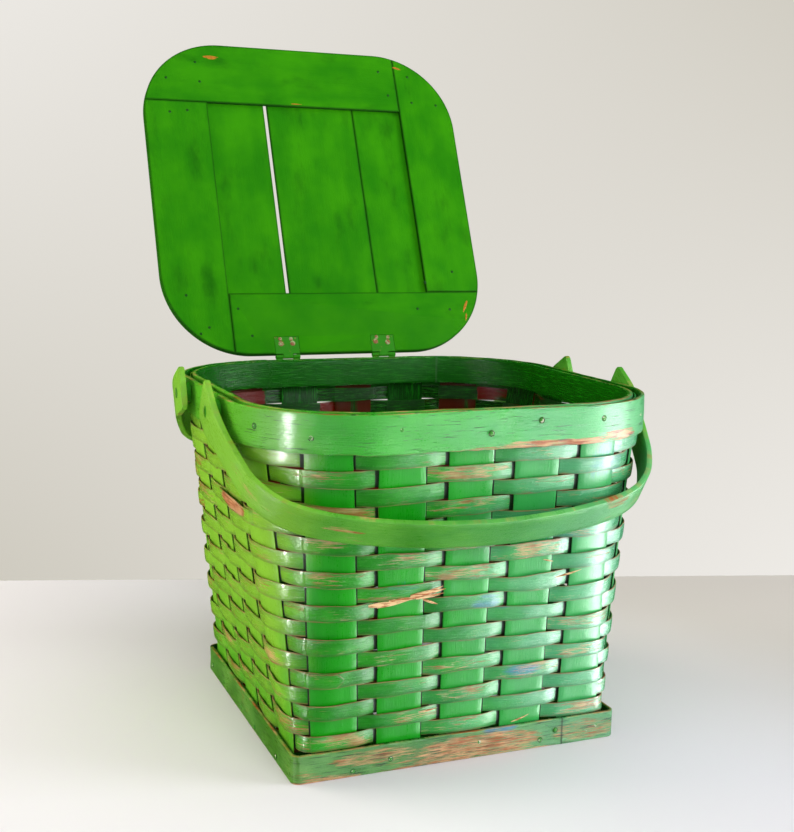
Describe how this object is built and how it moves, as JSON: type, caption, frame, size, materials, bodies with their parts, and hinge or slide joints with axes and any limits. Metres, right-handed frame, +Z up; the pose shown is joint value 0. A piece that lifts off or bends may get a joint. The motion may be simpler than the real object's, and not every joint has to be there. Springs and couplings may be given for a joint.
{
  "type": "picnic basket",
  "caption": "Square woven splint basket with a bent wood rim, a hinged framed wooden lid and swing strap handles, painted green.",
  "frame": {"origin": "centre of the base on the floor", "axes": "+X to the basket's right seen from the front, +Y to the back where the lid is hinged, +Z up"},
  "size_m": [0.3246, 0.4361, 0.5177],
  "materials": {
    "weave": "worn gloss paint on splint",
    "stakes": "worn gloss paint on splint",
    "bands": "worn gloss paint on bent wood",
    "lid": "satin paint on thin boards",
    "handles": "worn gloss paint on bent wood",
    "hardware": "chipped gloss paint"
  },
  "bodies": {
    "basket": {"weaver_01": "weave", "weaver_02": "weave", "weaver_03": "weave", "weaver_04": "weave", "weaver_05": "weave", "weaver_06": "weave", "weaver_07": "weave", "weaver_08": "weave", "weaver_09": "weave", "weaver_10": "weave", "weaver_11": "weave", "weaver_12": "weave", "weaver_13": "weave", "weaver_14": "weave", "weaver_15": "weave", "weaver_16": "weave", "weaver_17": "weave", "weaver_18": "weave", "stake_front_back_1": "stakes", "stake_front_back_2": "stakes", "stake_front_back_3": "stakes", "stake_front_back_4": "stakes", "stake_front_back_5": "stakes", "stake_left_right_1": "stakes", "stake_left_right_2": "stakes", "stake_left_right_3": "stakes", "stake_left_right_4": "stakes", "stake_left_right_5": "stakes", "rim_outer_band": "bands", "rim_inner_band": "bands", "base_band": "bands", "hinge_left_rim_leaf": "hardware", "hinge_right_rim_leaf": "hardware", "hinge_left_pin": "hardware", "hinge_right_pin": "hardware", "rivet_front_left": "hardware", "rivet_front_right": "hardware", "rivet_rear_left": "hardware", "rivet_rear_right": "hardware", "spacer_front_left": "handles", "spacer_front_right": "handles", "spacer_rear_left": "handles", "spacer_rear_right": "handles"},
    "lid": {"lid_hinge_rail": "lid", "lid_left_stile": "lid", "lid_right_stile": "lid", "lid_front_rail": "lid", "lid_panel_left": "lid", "lid_panel_middle": "lid", "lid_panel_right": "lid", "hinge_left_lid_leaf": "hardware", "hinge_right_lid_leaf": "hardware"},
    "front_handle": {"handle_front": "handles"},
    "rear_handle": {"handle_rear": "handles"}
  },
  "joints": [
    {"name": "lid_hinge", "type": "hinge", "parent": "basket", "child": "lid", "pos_m": [-0.00165, 0.1506, 0.2523], "axis": [1, 0, 0], "range_deg": [0, 114.2]},
    {"name": "front_handle_swing", "type": "hinge", "parent": "basket", "child": "front_handle", "pos_m": [0, -0.045, 0.24], "axis": [-1, 0, 0], "range_deg": [0, 176]},
    {"name": "rear_handle_swing", "type": "hinge", "parent": "basket", "child": "rear_handle", "pos_m": [0, 0.045, 0.24], "axis": [1, 0, 0], "range_deg": [-6, 25]}
  ]
}
